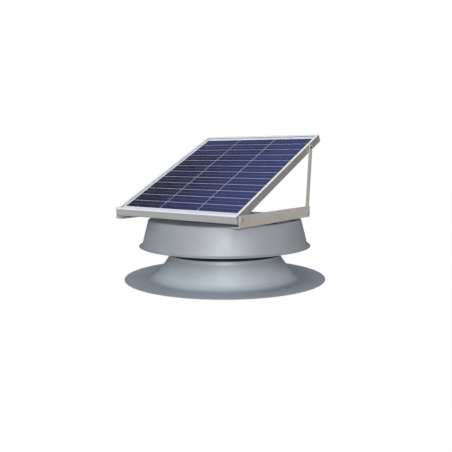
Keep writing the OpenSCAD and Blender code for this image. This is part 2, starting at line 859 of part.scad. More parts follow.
// Keys that join the frame's corners, lying under the glass groove
module corner_keys() {
    wide = frame_lip - frame_t;
    z = -groove_floor - groove_lip_t - key_t;
    color("gray")
    on_panel()
        for (sx = [-1, 1], far = [0, 1])
            translate([sx * (side_x - frame_t), far == 0 ? frame_t : panel_l - frame_t, z])
                mirror([sx > 0 ? 1 : 0, 0, 0])
                    mirror([0, far, 0])
                        union() {
                            cube([key_l, wide, key_t]);
                            cube([wide, key_l, key_t]);
                        }
}

// A flat layer of the laminate, from the panel's low edge and the frame's top
module layer(width, length, top, t) {
    on_panel() translate([-width / 2, (panel_l - length) / 2, -top - t]) cube([width, length, t]);
}
module glass() {
    color("lightblue", 0.4) layer(laminate_w, laminate_l, frame_t, glass_t);
}
module backsheet() {
    color("white") layer(laminate_w, laminate_l, backsheet_top, backsheet_t);
}
module cells() {
    color([0.1, 0.13, 0.35])
    on_panel()
        for (i = [0 : cell_columns - 1], j = [0 : cell_rows - 1])
            translate([-field_w / 2 + i * (cell_w + column_gap), cell_margin + j * (cell_l + row_gap),
                       -cell_top - cell_t])
                cube([cell_w, cell_l, cell_t]);
}
module cell_ribbons() {
    color("lightsteelblue")
    on_panel()
        for (j = [0 : cell_rows - 1])
            translate([-field_w / 2, cell_margin + cell_l / 2 - ribbon_w / 2 + j * (cell_l + row_gap),
                       -cell_top])
                cube([field_w, ribbon_w, ribbon_t]);
}

// Junction box on the backsheet, its lid and the gland for the lead
module junction_box() {
    wall = 2;
    half_w = box_w / 2;
    color([0.1, 0.1, 0.1])
    on_panel()
        translate([0, box_at, -box_top - box_h])
            difference() {
                linear_extrude(box_h)
                    rounded_outline([[-half_w, -box_l / 2], [half_w, -box_l / 2],
                                     [half_w, box_l / 2], [-half_w, box_l / 2]], box_r);
                translate([0, 0, -1])
                    linear_extrude(box_h - wall + 1)
                        rounded_outline([[wall - half_w, wall - box_l / 2], [half_w - wall, wall - box_l / 2],
                                         [half_w - wall, box_l / 2 - wall], [wall - half_w, box_l / 2 - wall]],
                                        box_r - wall);
                translate([0, -box_l / 2 + wall + 1, box_top + box_h - gland_drop])
                    rotate([90, 0, 0])
                        cylinder(r = gland_r - 1, h = wall + 2);
            }
}
module junction_lid() {
    half_w = box_w / 2;
    color([0.12, 0.12, 0.12])
    on_panel()
        translate([0, box_at, -box_top - box_h - lid_h])
            linear_extrude(lid_h)
                rounded_outline([[-half_w, -box_l / 2], [half_w, -box_l / 2],
                                 [half_w, box_l / 2], [-half_w, box_l / 2]], box_r);
}
module cable_gland() {
    color([0.15, 0.15, 0.15])
    on_panel()
        translate([0, box_at - box_l / 2, -gland_drop])
            rotate([90, 0, 0])
                difference() {
                    union() {
                        rod(gland_r - 1, -4, eps);
                        rod(gland_r, 0, gland_l);
                        translate([0, 0, gland_nut_l]) cylinder(r = gland_nut_r, h = gland_nut_l, $fn = hex_sides);
                    }
                    rod(gland_bore_r, -5, gland_l + 1);
                }
}

flashing();
shroud();
guard_screen();
strap(0);  // strap_front_right
strap(1);  // strap_rear_right
strap(2);  // strap_rear_left
strap(3);  // strap_front_left
strap_rivets();
shroud_bolts();
shroud_washers();
shroud_nuts();
wire_grommet();
motor_bracket();
bracket_rivets();
motor_bell();
motor_can();
motor_cap();
front_bearing();
rear_bearing();
motor_screws();
motor_shaft();
fan_hub();
fan_spider();
blade(0);  // blade_1
blade(1);  // blade_2
blade(2);  // blade_3
blade(3);  // blade_4
blade(4);  // blade_5
blade_rivets();
hub_screw();
rail(left_side);  // rail_left
rail(right_side);  // rail_right
rail_pads();
rail_bolts();
rail_washers();
rail_nuts();
hinge_bolts();
hinge_spacers();
hinge_nuts();
pivot_rivets();
strut(left_side);  // strut_left
strut(right_side);  // strut_right
strut_screw(left_side);  // strut_screw_left
strut_screw(right_side);  // strut_screw_right
frame_front();
frame_rear();
frame_side(left_side);  // frame_left
frame_side(right_side);  // frame_right
corner_keys();
glass();
cells();
cell_ribbons();
backsheet();
junction_box();
junction_lid();
cable_gland();
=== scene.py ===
"""Looks of a solar roof ventilator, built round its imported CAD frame.

Each sub-assembly is a class whose fields are its real sizes in metres. It builds the
surfaces that the eye reads (spun sheet, extrusions, flat bars) and dresses the CAD nodes
whose shape is already right. Every finish is a small class named for the real material.
"""

import json
import logging
import math
from dataclasses import dataclass
from enum import Enum
from functools import cached_property

import bpy
import numpy as np
from mathutils import Matrix, Vector


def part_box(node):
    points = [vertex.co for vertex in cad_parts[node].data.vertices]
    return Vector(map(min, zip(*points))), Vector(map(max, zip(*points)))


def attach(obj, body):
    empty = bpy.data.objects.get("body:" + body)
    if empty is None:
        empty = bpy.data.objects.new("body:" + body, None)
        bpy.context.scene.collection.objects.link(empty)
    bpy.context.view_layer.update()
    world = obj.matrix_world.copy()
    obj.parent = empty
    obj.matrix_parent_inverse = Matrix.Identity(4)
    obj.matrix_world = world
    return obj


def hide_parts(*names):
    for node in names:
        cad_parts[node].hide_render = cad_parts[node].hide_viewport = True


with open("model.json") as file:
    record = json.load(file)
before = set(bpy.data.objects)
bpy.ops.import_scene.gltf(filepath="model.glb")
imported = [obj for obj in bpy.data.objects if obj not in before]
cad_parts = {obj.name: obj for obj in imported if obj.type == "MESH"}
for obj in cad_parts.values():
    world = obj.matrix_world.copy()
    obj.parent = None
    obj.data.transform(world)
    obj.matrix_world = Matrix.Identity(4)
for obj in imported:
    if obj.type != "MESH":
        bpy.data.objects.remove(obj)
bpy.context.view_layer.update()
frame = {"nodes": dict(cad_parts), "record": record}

MM = 0.001
WHITE = "#ffffff"
END_STEPS = 8
EDGE_STEPS = 3
ON_AXIS = 1e-9
# Most of a noise's values lie between these two, so they are spread over the whole range.
NOISE_SPAN = {"From Min": 0.3, "From Max": 0.7}
NOISE_FALL = 0.55
LOG = logging.getLogger("ventilator")

Array = np.ndarray
Pair = tuple[float, float]
Triple = tuple[float, float, float]
Colour = tuple[float, float, float, float]
Node = bpy.types.Node
Socket = bpy.types.NodeSocket
Sockets = bpy.types.bpy_prop_collection
Material = bpy.types.Material


class Side(Enum):
    """Which side of the object a paired part is on, as the sign of its X."""

    LEFT = -1
    RIGHT = 1

    @property
    def word(self) -> str:
        """The side's name as the CAD nodes spell it."""
        return self.name.lower()


def linear_colour(code: str) -> Colour:
    """Turns an sRGB hex colour into linear RGBA.

    Args:
        code: a colour such as "#8a9099".

    Returns:
        Red, green, blue and an alpha of 1, all linear.
    """
    srgb = np.array([int(code[at : at + 2], 16) for at in (1, 3, 5)]) / 255.0
    line = np.where(srgb <= 0.04045, srgb / 12.92, ((srgb + 0.055) / 1.055) ** 2.4)
    return (*line.tolist(), 1.0)


def corner_arc(before: Array, corner: Array, after: Array, radius: float, steps: int) -> Array:
    """Points of the arc that rounds one corner of a path.

    The arc lies on the circle of its radius that touches both segments: its middle is on the
    corner's bisector, radius / sin(half angle) away.

    Args:
        before: the point before the corner.
        corner: the corner.
        after: the point after it.
        radius: the arc's radius.
        steps: how many segments it has.

    Returns:
        The arc's points.
    """
    toward_before = (before - corner) / np.linalg.norm(before - corner)
    toward_after = (after - corner) / np.linalg.norm(after - corner)
    half = math.acos(float(np.clip(toward_before @ toward_after, -1.0, 1.0))) / 2
    bisector = toward_before + toward_after
    middle = corner + bisector / np.linalg.norm(bisector) * radius / math.sin(half)
    first = corner + toward_before * radius / math.tan(half) - middle
    last = corner + toward_after * radius / math.tan(half) - middle
    start = math.atan2(first[1], first[0])
    sweep = (math.atan2(last[1], last[0]) - start + math.pi) % (2 * math.pi) - math.pi
    angles = start + sweep * np.linspace(0.0, 1.0, steps + 1)
    return middle + radius * np.column_stack([np.cos(angles), np.sin(angles)])


def rounded(
    points: Array, radii: float | list[float], steps: int = EDGE_STEPS, closed: bool = True
) -> Array:
    """Rounds an outline at all its corners, or an open path at its inner ones.

    Args:
        points: the corners, in order.
        radii: one radius for all corners, or one for each.
        steps: how many segments each arc has.
        closed: whether it is an outline.

    Returns:
        The rounded line's points.
    """
    corners = np.asarray(points, float)
    line = np.vstack([corners[-1:], corners, corners[:1]]) if closed else corners
    each = np.broadcast_to(radii, len(line) - 2)
    arcs = [corner_arc(*corner, steps) for corner in zip(line, line[1:], line[2:], each)]
    return np.vstack(arcs if closed else [corners[:1], *arcs, corners[-1:]])


def left_offset(path: Array, distance: float) -> Array:
    """An open path moved to its left.

    Each point moves along the mean of its two segments' normals, by the distance divided by
    that mean's share along either one, so that corners are mitred.

    Args:
        path: its points.
        distance: how far it moves, less than 0 for its right.

    Returns:
        The moved points.
    """
    step = np.diff(path, axis=0)
    step /= np.linalg.norm(step, axis=1, keepdims=True)
    before = np.vstack([step[:1], step])
    after = np.vstack([step, step[-1:]])
    normal = np.column_stack([-(before + after)[:, 1], (before + after)[:, 0]])
    normal /= np.linalg.norm(normal, axis=1, keepdims=True)
    square = np.column_stack([-before[:, 1], before[:, 0]])
    return path + normal * distance / np.sum(normal * square, axis=1, keepdims=True)


def round_end(path: Array, thickness: float) -> Array:
    """The half circle that closes a sheet at its path's last point, without its two ends.

    A point at angle a is half the thickness away: cos a along the path and sin a to its left.

    Args:
        path: the sheet's middle line.
        thickness: the sheet's thickness.

    Returns:
        The points, from the path's right to its left.
    """
    along = (path[-1] - path[-2]) / np.linalg.norm(path[-1] - path[-2])
    angles = np.linspace(-0.5, 0.5, END_STEPS + 1)[1:-1] * math.pi
    turned = np.outer(np.cos(angles), along) + np.outer(np.sin(angles), [-along[1], along[0]])
    return path[-1] + thickness / 2 * turned


def sheet_loop(path: Array, thickness: float) -> Array:
    """Outline of a bent sheet that lies half on each side of a path, its edges rounded.

    It runs along the path's right side, round its end and back along its left side, so the
    metal is always on the left. An end on the axis, where X is 0, stays open.

    Args:
        path: the sheet's middle line.
        thickness: the sheet's thickness.

    Returns:
        The outline's points.
    """
    right = left_offset(path, -thickness / 2)
    left = left_offset(path, thickness / 2)[::-1]
    parts = [right, round_end(path, thickness), left]
    if path[0, 0] > 0:
        parts.append(round_end(path[::-1], thickness))
    return np.vstack(parts)


@dataclass
class Surface:
    """A mesh as arrays: its points and its faces."""

    points: Array
    faces: list[list[int]]

    def placed(self, place: Matrix) -> "Surface":
        """The same surface with every point moved by a matrix."""
        turn, shift = np.array(place.to_3x3()), np.array(place.translation)
        return Surface(self.points @ turn.T + shift, self.faces)

    def mirrored(self, side: Side) -> "Surface":
        """The surface on its side: the left one is mirrored in X, with its faces turned over.

        Args:
            side: the side that it goes to.

        Returns:
            This surface, or its mirror image with its faces still outwards.
        """
        if side is Side.RIGHT:
            return self
        return Surface(self.points * np.array([side.value, 1.0, 1.0]), [face[::-1] for face in self.faces])


def grid_faces(rows: int, columns: int, wrap_rows: bool) -> list[list[int]]:
    """Quads of a grid of points, each of whose rows closes on itself.

    The point at row i and column j is number i x columns + j.

    Args:
        rows: how many rows there are.
        columns: how many points each has.
        wrap_rows: whether the last row also meets the first.

    Returns:
        Four point numbers for each quad.
    """
    number = np.arange(rows * columns).reshape(rows, columns)
    number = np.pad(number, [(0, int(wrap_rows)), (0, 1)], mode="wrap")
    corners = [number[:-1, :-1], number[:-1, 1:], number[1:, 1:], number[1:, :-1]]
    return np.stack(corners, axis=-1).reshape(-1, 4).tolist()


def revolve(profile: Array, steps: int) -> Surface:
    """Turns a profile of (radius, height) about Z.

    The point at profile point j and turn a is (r_j cos a, r_j sin a, z_j). A profile that
    starts and ends on the axis is closed there with one point each; any other is a loop.

    Args:
        profile: the profile's points, metal on its left.
        steps: how many turns make up the circle.

    Returns:
        The closed surface.
    """
    on_axis = profile[0, 0] <= ON_AXIS
    rim = profile[1:-1] if on_axis else profile
    angles = np.linspace(0.0, 2 * math.pi, steps, endpoint=False)
    flat = rim[:, None, :1] * np.column_stack([np.cos(angles), np.sin(angles)])
    heights = np.broadcast_to(rim[:, None, 1:], (len(rim), steps, 1))
    points = np.concatenate([flat, heights], axis=2).reshape(-1, 3)
    faces = grid_faces(len(rim), steps, wrap_rows=not on_axis)
    if on_axis:
        first = np.arange(steps)
        after = np.roll(first, -1)
        pole, last = len(points), len(points) - steps
        faces += np.column_stack([np.full(steps, pole), after, first]).tolist()
        faces += np.column_stack([np.full(steps, pole + 1), first + last, after + last]).tolist()
        points = np.vstack([points, [0.0, 0.0, profile[0, 1]], [0.0, 0.0, profile[-1, 1]]])
    return Surface(points, faces)


def loft(rings: list[Array]) -> Surface:
    """Joins equal rings of points in order and closes the first and last with a face.

    Point k of each ring is joined to point k of the next.

    Args:
        rings: the rings, each going round the same way, anticlockwise seen from the last one.

    Returns:
        The closed surface.
    """
    count = len(rings[0])
    index = np.arange(count)
    caps = [index[::-1].tolist(), (index + (len(rings) - 1) * count).tolist()]
    return Surface(np.vstack(rings), caps + grid_faces(len(rings), count, wrap_rows=False))


def slab(outline: Array, start: float, end: float, edge: float) -> Surface:
    """A flat plate across X with eased edges.

    At both faces each point lies nearer to the outline's centre by the eased width.

    Args:
        outline: closed convex outline (y, z), anticlockwise seen from +X.
        start: X of the near face.
        end: X of the far one.
        edge: how far each edge is eased.

    Returns:
        The closed plate.
    """
    centre = outline.mean(axis=0)
    reach = np.linalg.norm(outline - centre, axis=1, keepdims=True)
    inner = centre + (outline - centre) * (1 - edge / reach)
    levels = ((inner, start), (outline, start + edge), (outline, end - edge), (inner, end))
    return loft([np.insert(shape, 0, x, axis=1) for shape, x in levels])


def add_object(name: str, data: bpy.types.ID) -> bpy.types.Object:
    """Adds an object to the scene.

    Args:
        name: its name.
        data: its mesh, lamp or camera.

    Returns:
        The new object.
    """
    made = bpy.data.objects.new(name, data)
    bpy.context.scene.collection.objects.link(made)
    return made


def bare_graph(owner: Material | bpy.types.World) -> "Graph":
    """Empties a node tree.

    Args:
        owner: the material or world that has it.

    Returns:
        The bare tree's graph.
    """
    owner.use_nodes = True
    owner.node_tree.nodes.clear()
    return Graph(owner.node_tree)


def make_piece(
    name: str, surface: Surface, finish: "Finish", body: str, nodes: list[str],
    crease: float = 40.0, stands_in: bool = True,
) -> bpy.types.Object:
    """Makes a piece that stands for CAD nodes, or trims one that stays.

    Args:
        name: the piece's name.
        surface: its points and faces, already in place.
        finish: its finish.
        body: the CAD body that it rides on.
        nodes: the CAD nodes that it stands for or trims.
        crease: edges sharper than this many degrees stay sharp.
        stands_in: whether the nodes are hidden.

    Returns:
        The new object, at the origin, with its place in its mesh.
    """
    mesh = bpy.data.meshes.new(name)
    mesh.from_pydata(surface.points.tolist(), [], surface.faces)
    mesh.materials.append(finish.material)
    mesh.shade_smooth()
    mesh.set_sharp_from_angle(angle=math.radians(crease))
    mesh.validate()
    piece = add_object(name, mesh)
    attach(piece, body)
    if stands_in:
        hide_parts(*nodes)
    LOG.info("made %s for %s, %d faces", name, ", ".join(nodes), len(surface.faces))
    return piece


def joint_place(name: str) -> Vector:
    """Where a joint of the frame's record lies."""
    joints = frame["record"]["behaviour"]["joints"]
    return Vector(next(row for row in joints if row["name"] == name)["pos_m"])


def dress(finish: "Finish", *nodes: str) -> None:
    """Gives CAD nodes a material and leaves their meshes alone.

    Args:
        finish: the material's finish.
        nodes: the CAD nodes' names.
    """
    for name in nodes:
        node = frame["nodes"][name]
        if not node.material_slots:
            node.data.materials.append(finish.material)
        for material_slot in node.material_slots:
            material_slot.link = "OBJECT"
            material_slot.material = finish.material
        LOG.info("dressed %s in %s", name, finish.name)


@dataclass(frozen=True)
class PanelPlace:
    """Where the tilted panel lies: local X across it, Y up its slope, Z out of the glass."""

    tilt: float = math.radians(26.3)
    hinge_up_slope: float = 11.0 * MM
    hinge_drop: float = 15.5 * MM

    @property
    def matrix(self) -> Matrix:
        """Takes a local point to its place at rest.

        Returns:
            The move to the hinge and the turn by the tilt there.
        """
        turn = Matrix.Rotation(self.tilt, 4, "X")
        to_hinge = Matrix.Translation((0.0, -self.hinge_up_slope, self.hinge_drop))
        return Matrix.Translation(joint_place("panel_tilt")) @ turn @ to_hinge


PANEL = PanelPlace()


def cloudy(place: Node, size: float, octaves: float = 3.0) -> dict:
    """What goes into a noise whose blotches have a real size.

    Args:
        place: the coordinates that it reads.
        size: how wide a blotch is, in metres.
        octaves: how many finer layers it has.

    Returns:
        The values and links, by input.
    """
    return {"Vector": place, "Scale": 1.0 / size, "Detail": octaves, "Roughness": NOISE_FALL}


@dataclass
class Graph:
    """The node tree of a material or world, and the patterns that are built in it."""

    tree: bpy.types.NodeTree

    def fill(self, node: Node, sockets: dict) -> None:
        """Gives a node's inputs their values and links.

        Args:
            node: the node.
            sockets: what goes into each input, by name or number: a value, a hex colour, an
                output of another node, or a node, which stands for its first live output.
        """
        for name, value in sockets.items():
            if isinstance(value, Node):
                value = next(output for output in value.outputs if output.enabled)
            if isinstance(value, Socket):
                self.tree.links.new(value, node.inputs[name])
            else:
                node.inputs[name].default_value = linear_colour(value) if isinstance(value, str) else value

    def add(self, kind: str, sockets: dict | None = None, **settings: object) -> Node:
        """Adds a node with its settings and links.

        Args:
            kind: the node's type, without the words that all of them start with.
            sockets: what goes into its inputs, as fill() takes it.
            settings: attributes of the node, such as operation="ADD".

        Returns:
            The new node.
        """
        node = self.tree.nodes.new("ShaderNode" + kind)
        for name, value in settings.items():
            setattr(node, name, value)
        self.fill(node, sockets or {})
        return node

    def place(self, **changes: object) -> Node:
        """Object coordinates, moved, turned or stretched by a Mapping node's inputs."""
        return self.add("Mapping", {"Vector": self.add("TexCoord").outputs["Object"], **changes})

    def tinted(self, first: str | Node, second: str, noise: Node, share: float) -> Node:
        """Lets a second tone show through a first where a noise is high, by a share at its top."""
        shown = self.add("MapRange", {"Value": noise, **NOISE_SPAN, "To Max": share})
        return self.add("Mix", {0: shown, 6: first, 7: second}, data_type="RGBA")


@dataclass(frozen=True)
class Finish:
    """A real material: its name, colour, roughness, whether it is a metal, and its uneven gloss."""

    name: str
    colour: str
    roughness: float
    metallic: float = 0.0
    uneven: Pair = (-0.04, 0.06)

    @cached_property
    def material(self) -> Material:
        """Made when it is first asked for.

        Returns:
            A material with the plain values, and then the finish's own detail.
        """
        material = bpy.data.materials.new(self.name)
        material.use_nodes = True
        graph = Graph(material.node_tree)
        shader = material.node_tree.nodes["Principled BSDF"]
        plain = {"Base Color": self.colour, "Roughness": self.roughness, "Metallic": self.metallic}
        graph.fill(shader, plain)
        graph.fill(shader, self.detail(graph))
        return material

    def detail(self, graph: Graph) -> dict:
        """What goes into the shader beyond the plain values, by input."""
        return {}

    def gloss(self, noise: Node) -> dict:
        """What goes into a range so that a noise moves roughness between the two limits."""
        low, high = (self.roughness + limit for limit in self.uneven)
        return {"Value": noise, **NOISE_SPAN, "To Min": low, "To Max": high}


@dataclass(frozen=True)
class SpunPaint(Finish):
    """Powder coat over spun aluminium: satin, a little metallic, faint spinning rings.

    A darker tone lies on it from one height to another, with a share at the second height:
    painted shade under the shroud's lip, and a darker flat brim.
    """

    uneven: Pair = (-0.04, 0.05)
    grime: str = "#8f8a84"
    cloud: float = 90 * MM
    cloud_share: float = 0.22
    fleck: str = "#a9b2bd"
    fleck_size: float = 3 * MM
    fleck_share: float = 0.1
    gloss_patch: float = 40 * MM
    ring_gloss: float = 0.35
    ring_turn: float = 0.25
    # Real rings lie closer; these are as coarse as they need to show.
    ring_gap: float = 2.5 * MM
    ring_depth: float = 0.03 * MM
    peel: float = 1.2 * MM
    # The darker tone: painted shade under the shroud's lip, and a darker flat brim, each from one height to
    # another with a share.
    lip_shade_and_brim_tone: str = "#7c858d"
    lip_shade: Triple = (22 * MM, 84 * MM, 0.0)
    brim_darkening: Triple = (9 * MM, 3 * MM, 0.0)

    def detail(self, graph: Graph) -> dict:
        """Cloudy tone, rings left by the spinning tool and a fine orange peel.

        Args:
            graph: the material's nodes.

        Returns:
            What goes into the shader.
        """
        place = graph.place()
        parts = graph.add("SeparateXYZ", {0: place}).outputs
        sizes = (self.cloud, self.fleck_size, self.gloss_patch)
        clouds, flecks, patches = (graph.add("TexNoise", cloudy(place, size)) for size in sizes)
        tone = graph.tinted(self.colour, self.grime, clouds, self.cloud_share)
        tone = graph.tinted(tone, self.fleck, flecks, self.fleck_share)
        coat = self.coat_height(graph, place, parts)
        # The tangent runs round the axis, so highlights spread across the rings.
        around = graph.add("VectorMath", {0: (0.0, 0.0, 1.0), 1: place}, operation="CROSS_PRODUCT")
        # Painted shade under the shroud's lip, and a darker flat brim.
        shaded_tone = {0: self.shade_and_brim_share(graph, parts["Z"]), 6: tone, 7: self.lip_shade_and_brim_tone}
        return {
            "Base Color": graph.add("Mix", shaded_tone, data_type="RGBA"),
            "Roughness": graph.add("MapRange", self.gloss(patches)),
            "Normal": graph.add("Bump", {"Height": coat, "Distance": self.ring_depth}),
            "Tangent": around,
            "Anisotropic": self.ring_gloss,
            "Anisotropic Rotation": self.ring_turn,
        }

    def shade_and_brim_share(self, graph: Graph, height: Socket) -> Node:
        """The share of the darker tone: painted shade towards the sheltered top, and some on the flat brim.

        It grows with the square of the way from one height to the other.

        Args:
            graph: the material's nodes.
            height: the coordinate up.

        Returns:
            The larger of the two shares.
        """
        shares = []
        for start, end, share in (self.lip_shade, self.brim_darkening):
            way = graph.add("MapRange", {"Value": height, "From Min": start, "From Max": end})
            square = graph.add("Math", {0: way, 1: 2.0}, operation="POWER")
            shares.append(graph.add("Math", {0: square, 1: share}, operation="MULTIPLY"))
        return graph.add("Math", dict(enumerate(shares)), operation="MAXIMUM")

    def coat_height(self, graph: Graph, place: Node, parts: Sockets) -> Node:
        """The coat's height: rings, a noise of radius less height, plus the orange peel.

        Args:
            graph: the material's nodes.
            place: the coordinates.
            parts: the same ones, separate.

        Returns:
            The height, from 0 to 2.
        """
        flat = graph.add("CombineXYZ", {"X": parts["X"], "Y": parts["Y"]})
        radius = graph.add("VectorMath", {0: flat}, operation="LENGTH")
        climb = graph.add("Math", {0: radius, 1: parts["Z"]}, operation="SUBTRACT")
        line = graph.add("CombineXYZ", {"X": climb})
        rings = graph.add("TexNoise", cloudy(line, self.ring_gap, octaves=2.0))
        peel = graph.add("TexNoise", cloudy(place, self.peel, octaves=1.0))
        return graph.add("Math", {0: rings, 1: peel}, operation="ADD")


@dataclass(frozen=True)
class Extruded(Finish):
    """Extruded or rolled aluminium: fine die lines along its length and a faint oxide tone."""

    uneven: Pair = (-0.05, 0.06)
    shade: str = "#9a938a"
    shade_share: float = 0.5
    cloud: float = 60 * MM
    along: Triple = (0.02, 1.0, 1.0)
    turn: float = 0.0
    # Real die lines are finer; these are as coarse as they need to show.
    line_gap: float = 0.9 * MM
    line_depth: float = 0.02 * MM
    line_share: float = 0.1

    def detail(self, graph: Graph) -> dict:
        """Die lines in colour, gloss and bump, with clouds of oxide over them.

        Args:
            graph: the material's nodes.

        Returns:
            What goes into the shader.
        """
        turned = graph.place(Rotation=(self.turn, 0.0, 0.0))
        drawn = graph.add("Mapping", {"Vector": turned, "Scale": self.along})
        lines = graph.add("TexNoise", cloudy(drawn, self.line_gap, octaves=2.0))
        clouds = graph.add("TexNoise", cloudy(turned, self.cloud, octaves=4.0))
        tone = graph.tinted(self.colour, self.shade, clouds, self.shade_share)
        return {
            "Base Color": graph.tinted(tone, self.shade, lines, self.line_share),
            "Roughness": graph.add("MapRange", self.gloss(lines)),
            "Normal": graph.add("Bump", {"Height": lines, "Distance": self.line_depth}),
        }


@dataclass(frozen=True)
class Grained(Finish):
    """A moulded, cast, plated or painted skin: even grain, with patches of a second tone."""

    second: str = "#000000"
    share: float = 0.3
    patch: float = 12 * MM
    # Coarser than the real grain, so that it shows.
    grain: float = 0.6 * MM
    depth: float = 0.03 * MM

    def detail(self, graph: Graph) -> dict:
        """Patches of tone and gloss, and the grain as a bump.

        Args:
            graph: the material's nodes.

        Returns:
            What goes into the shader.
        """
        place = graph.place()
        patches = graph.add("TexNoise", cloudy(place, self.patch))
        grain = graph.add("TexNoise", cloudy(place, self.grain, octaves=2.0))
        return {
            "Base Color": graph.tinted(self.colour, self.second, patches, self.share),
            "Roughness": graph.add("MapRange", self.gloss(patches)),
            "Normal": graph.add("Bump", {"Height": grain, "Distance": self.depth}),
        }


@dataclass(frozen=True)
class Ground(Finish):
    """Ground bearing steel: bright, with fine marks round the part."""

    uneven: Pair = (-0.05, 0.08)
    # Coarser than real grinding marks, so that they show.
    marks: float = 0.25 * MM
    mark_tone: str = "#a8aab0"
    along: Triple = (0.05, 0.05, 1.0)

    def detail(self, graph: Graph) -> dict:
        """Grinding marks, drawn long in the plane and fine in height.

        Args:
            graph: the material's nodes.

        Returns:
            What goes into the shader.
        """
        marks = graph.add("TexNoise", cloudy(graph.place(Scale=self.along), self.marks, octaves=2.0))
        tone = graph.add("Mix", {0: marks, 6: self.colour, 7: self.mark_tone}, data_type="RGBA")
        return {"Base Color": tone, "Roughness": graph.add("MapRange", self.gloss(marks))}


@dataclass(frozen=True)
class UnderGlass(Finish):
    """Anything laminated under the panel's glass, whose smooth gloss wets its own away."""

    glass_roughness: float = 0.06
    glass_ior: float = 1.25

    def panel_place(self, graph: Graph) -> Node:
        """Coordinates across the panel, up its slope and out of it, in metres."""
        back = PANEL.matrix.inverted()
        return graph.place(Location=back.translation, Rotation=back.to_euler())

    def glazed(self, tone: Node) -> dict:
        """What goes into the shader for a tone that is seen through the glass."""
        return {"Base Color": tone, "Specular IOR Level": 0.0, "Coat Weight": 1.0,
                "Coat Roughness": self.glass_roughness, "Coat IOR": self.glass_ior}


@dataclass(frozen=True)
class SiliconCells(UnderGlass):
    """Polycrystalline silicon with its blue coating: grains, printed fingers, cells that vary.

    Its colour is warm and dark at the panel's left and brighter to the right and rear. A
    span is where that starts and ends, across the panel or up its slope.
    """

    warm: str = "#271417"
    bright: str = "#4c5284"
    finger: str = "#8f99c9"
    cell_pitch: Pair = (145.2 * MM, 40.2 * MM)
    first_cell: Pair = (-216.3 * MM, 29.0 * MM)
    right_span: Pair = (-0.14, 0.2)
    right_share: float = 0.92
    right_glow: float = 0.8
    rear_span: Pair = (0.3, 0.48)
    rear_share: float = 0.48
    chance_share: float = 0.55
    crystal: float = 9 * MM
    crystal_share: float = 0.17
    finger_gap: float = 2.2 * MM
    finger_width: float = 0.06
    finger_share: float = 0.8

    def detail(self, graph: Graph) -> dict:
        """Colour by cell and by place on the panel, then crystals, then fingers on top.

        Args:
            graph: the material's nodes.

        Returns:
            What goes into the shader.
        """
        place = self.panel_place(graph)
        parts = graph.add("SeparateXYZ", {0: place}).outputs
        cell = self.cell_number(graph, parts)
        chance = graph.add("TexWhiteNoise", {"Vector": cell}, noise_dimensions="3D")
        right, rear = (
            graph.add("MapRange", {"Value": value, "From Min": start, "From Max": end, "To Max": share})
            for value, (start, end), share in (
                (parts["X"], self.right_span, self.right_share * self.right_glow),
                (parts["Y"], self.rear_span, self.rear_share),
            )
        )
        blue = graph.add("Math", {0: chance, 1: self.chance_share, 2: right}, operation="MULTIPLY_ADD")
        glow = graph.add("Math", {0: right, 1: rear}, operation="MAXIMUM")
        crystals = graph.add("TexVoronoi", {"Vector": place, "Scale": 1.0 / self.crystal})
        grain = graph.add("SeparateColor", {0: crystals.outputs["Color"]})
        sparkle, printed = (
            graph.add("Math", {0: value, 1: share}, operation="MULTIPLY")
            for value, share in (
                (grain, self.crystal_share),
                (self.fingers(graph, parts["X"]), self.finger_share),
            )
        )
        tone = self.warm
        layers = ((blue, self.colour), (glow, self.bright), (sparkle, self.bright), (printed, self.finger))
        for share, colour in layers:
            tone = graph.add("Mix", {0: share, 6: tone, 7: colour}, data_type="RGBA")
        return self.glazed(tone)

    def cell_number(self, graph: Graph, parts: Sockets) -> Node:
        """Column and row of the cell at a point: the way from the first over the pitch, cut down.

        Args:
            graph: the material's nodes.
            parts: the panel's separate coordinates.

        Returns:
            The two whole numbers as a vector.
        """
        numbers = {}
        for axis, pitch, first in zip("XY", self.cell_pitch, self.first_cell):
            moved = graph.add("Math", {0: parts[axis], 1: first}, operation="SUBTRACT")
            ratio = graph.add("Math", {0: moved, 1: pitch}, operation="DIVIDE")
            numbers[axis] = graph.add("Math", {0: ratio}, operation="FLOOR")
        return graph.add("CombineXYZ", numbers)

    def fingers(self, graph: Graph, across: Socket) -> Node:
        """1 on the printed fingers, which run up the slope, and 0 between them.

        Args:
            graph: the material's nodes.
            across: the coordinate across the panel.

        Returns:
            The pattern.
        """
        ratio = graph.add("Math", {0: across, 1: self.finger_gap}, operation="DIVIDE")
        part = graph.add("Math", {0: ratio}, operation="FRACT")
        return graph.add("Math", {0: part, 1: self.finger_width}, operation="LESS_THAN")


@dataclass(frozen=True)
class Backsheet(UnderGlass):
    """White polyester film behind the cells, slightly uneven where it was laminated.

    The cells' area is given by its middle and half its size, across and up the slope.
    """

    cloud: float = 25 * MM
    cloud_share: float = 0.5
    cloud_tone: str = "#eef1f6"
    between: str = "#c4c9d6"
    cell_area: tuple[Pair, ...] = ((0.0, 216.5 * MM), (269.0 * MM, 240.5 * MM))

    def detail(self, graph: Graph) -> dict:
        """A faint cloud of tone, and greyer film between the cells than round them.

        Args:
            graph: the material's nodes.

        Returns:
            What goes into the shader.
        """
        place = self.panel_place(graph)
        clouds = graph.add("TexNoise", cloudy(place, self.cloud))
        tone = graph.tinted(self.colour, self.cloud_tone, clouds, self.cloud_share)
        parts = graph.add("SeparateXYZ", {0: place}).outputs
        near = [graph.add("Math", {0: parts[axis], 1: middle, 2: half}, operation="COMPARE")
                for axis, (middle, half) in zip("XY", self.cell_area)]
        inside = graph.add("Math", dict(enumerate(near)), operation="MULTIPLY")
        return self.glazed(graph.add("Mix", {0: inside, 6: tone, 7: self.between}, data_type="RGBA"))


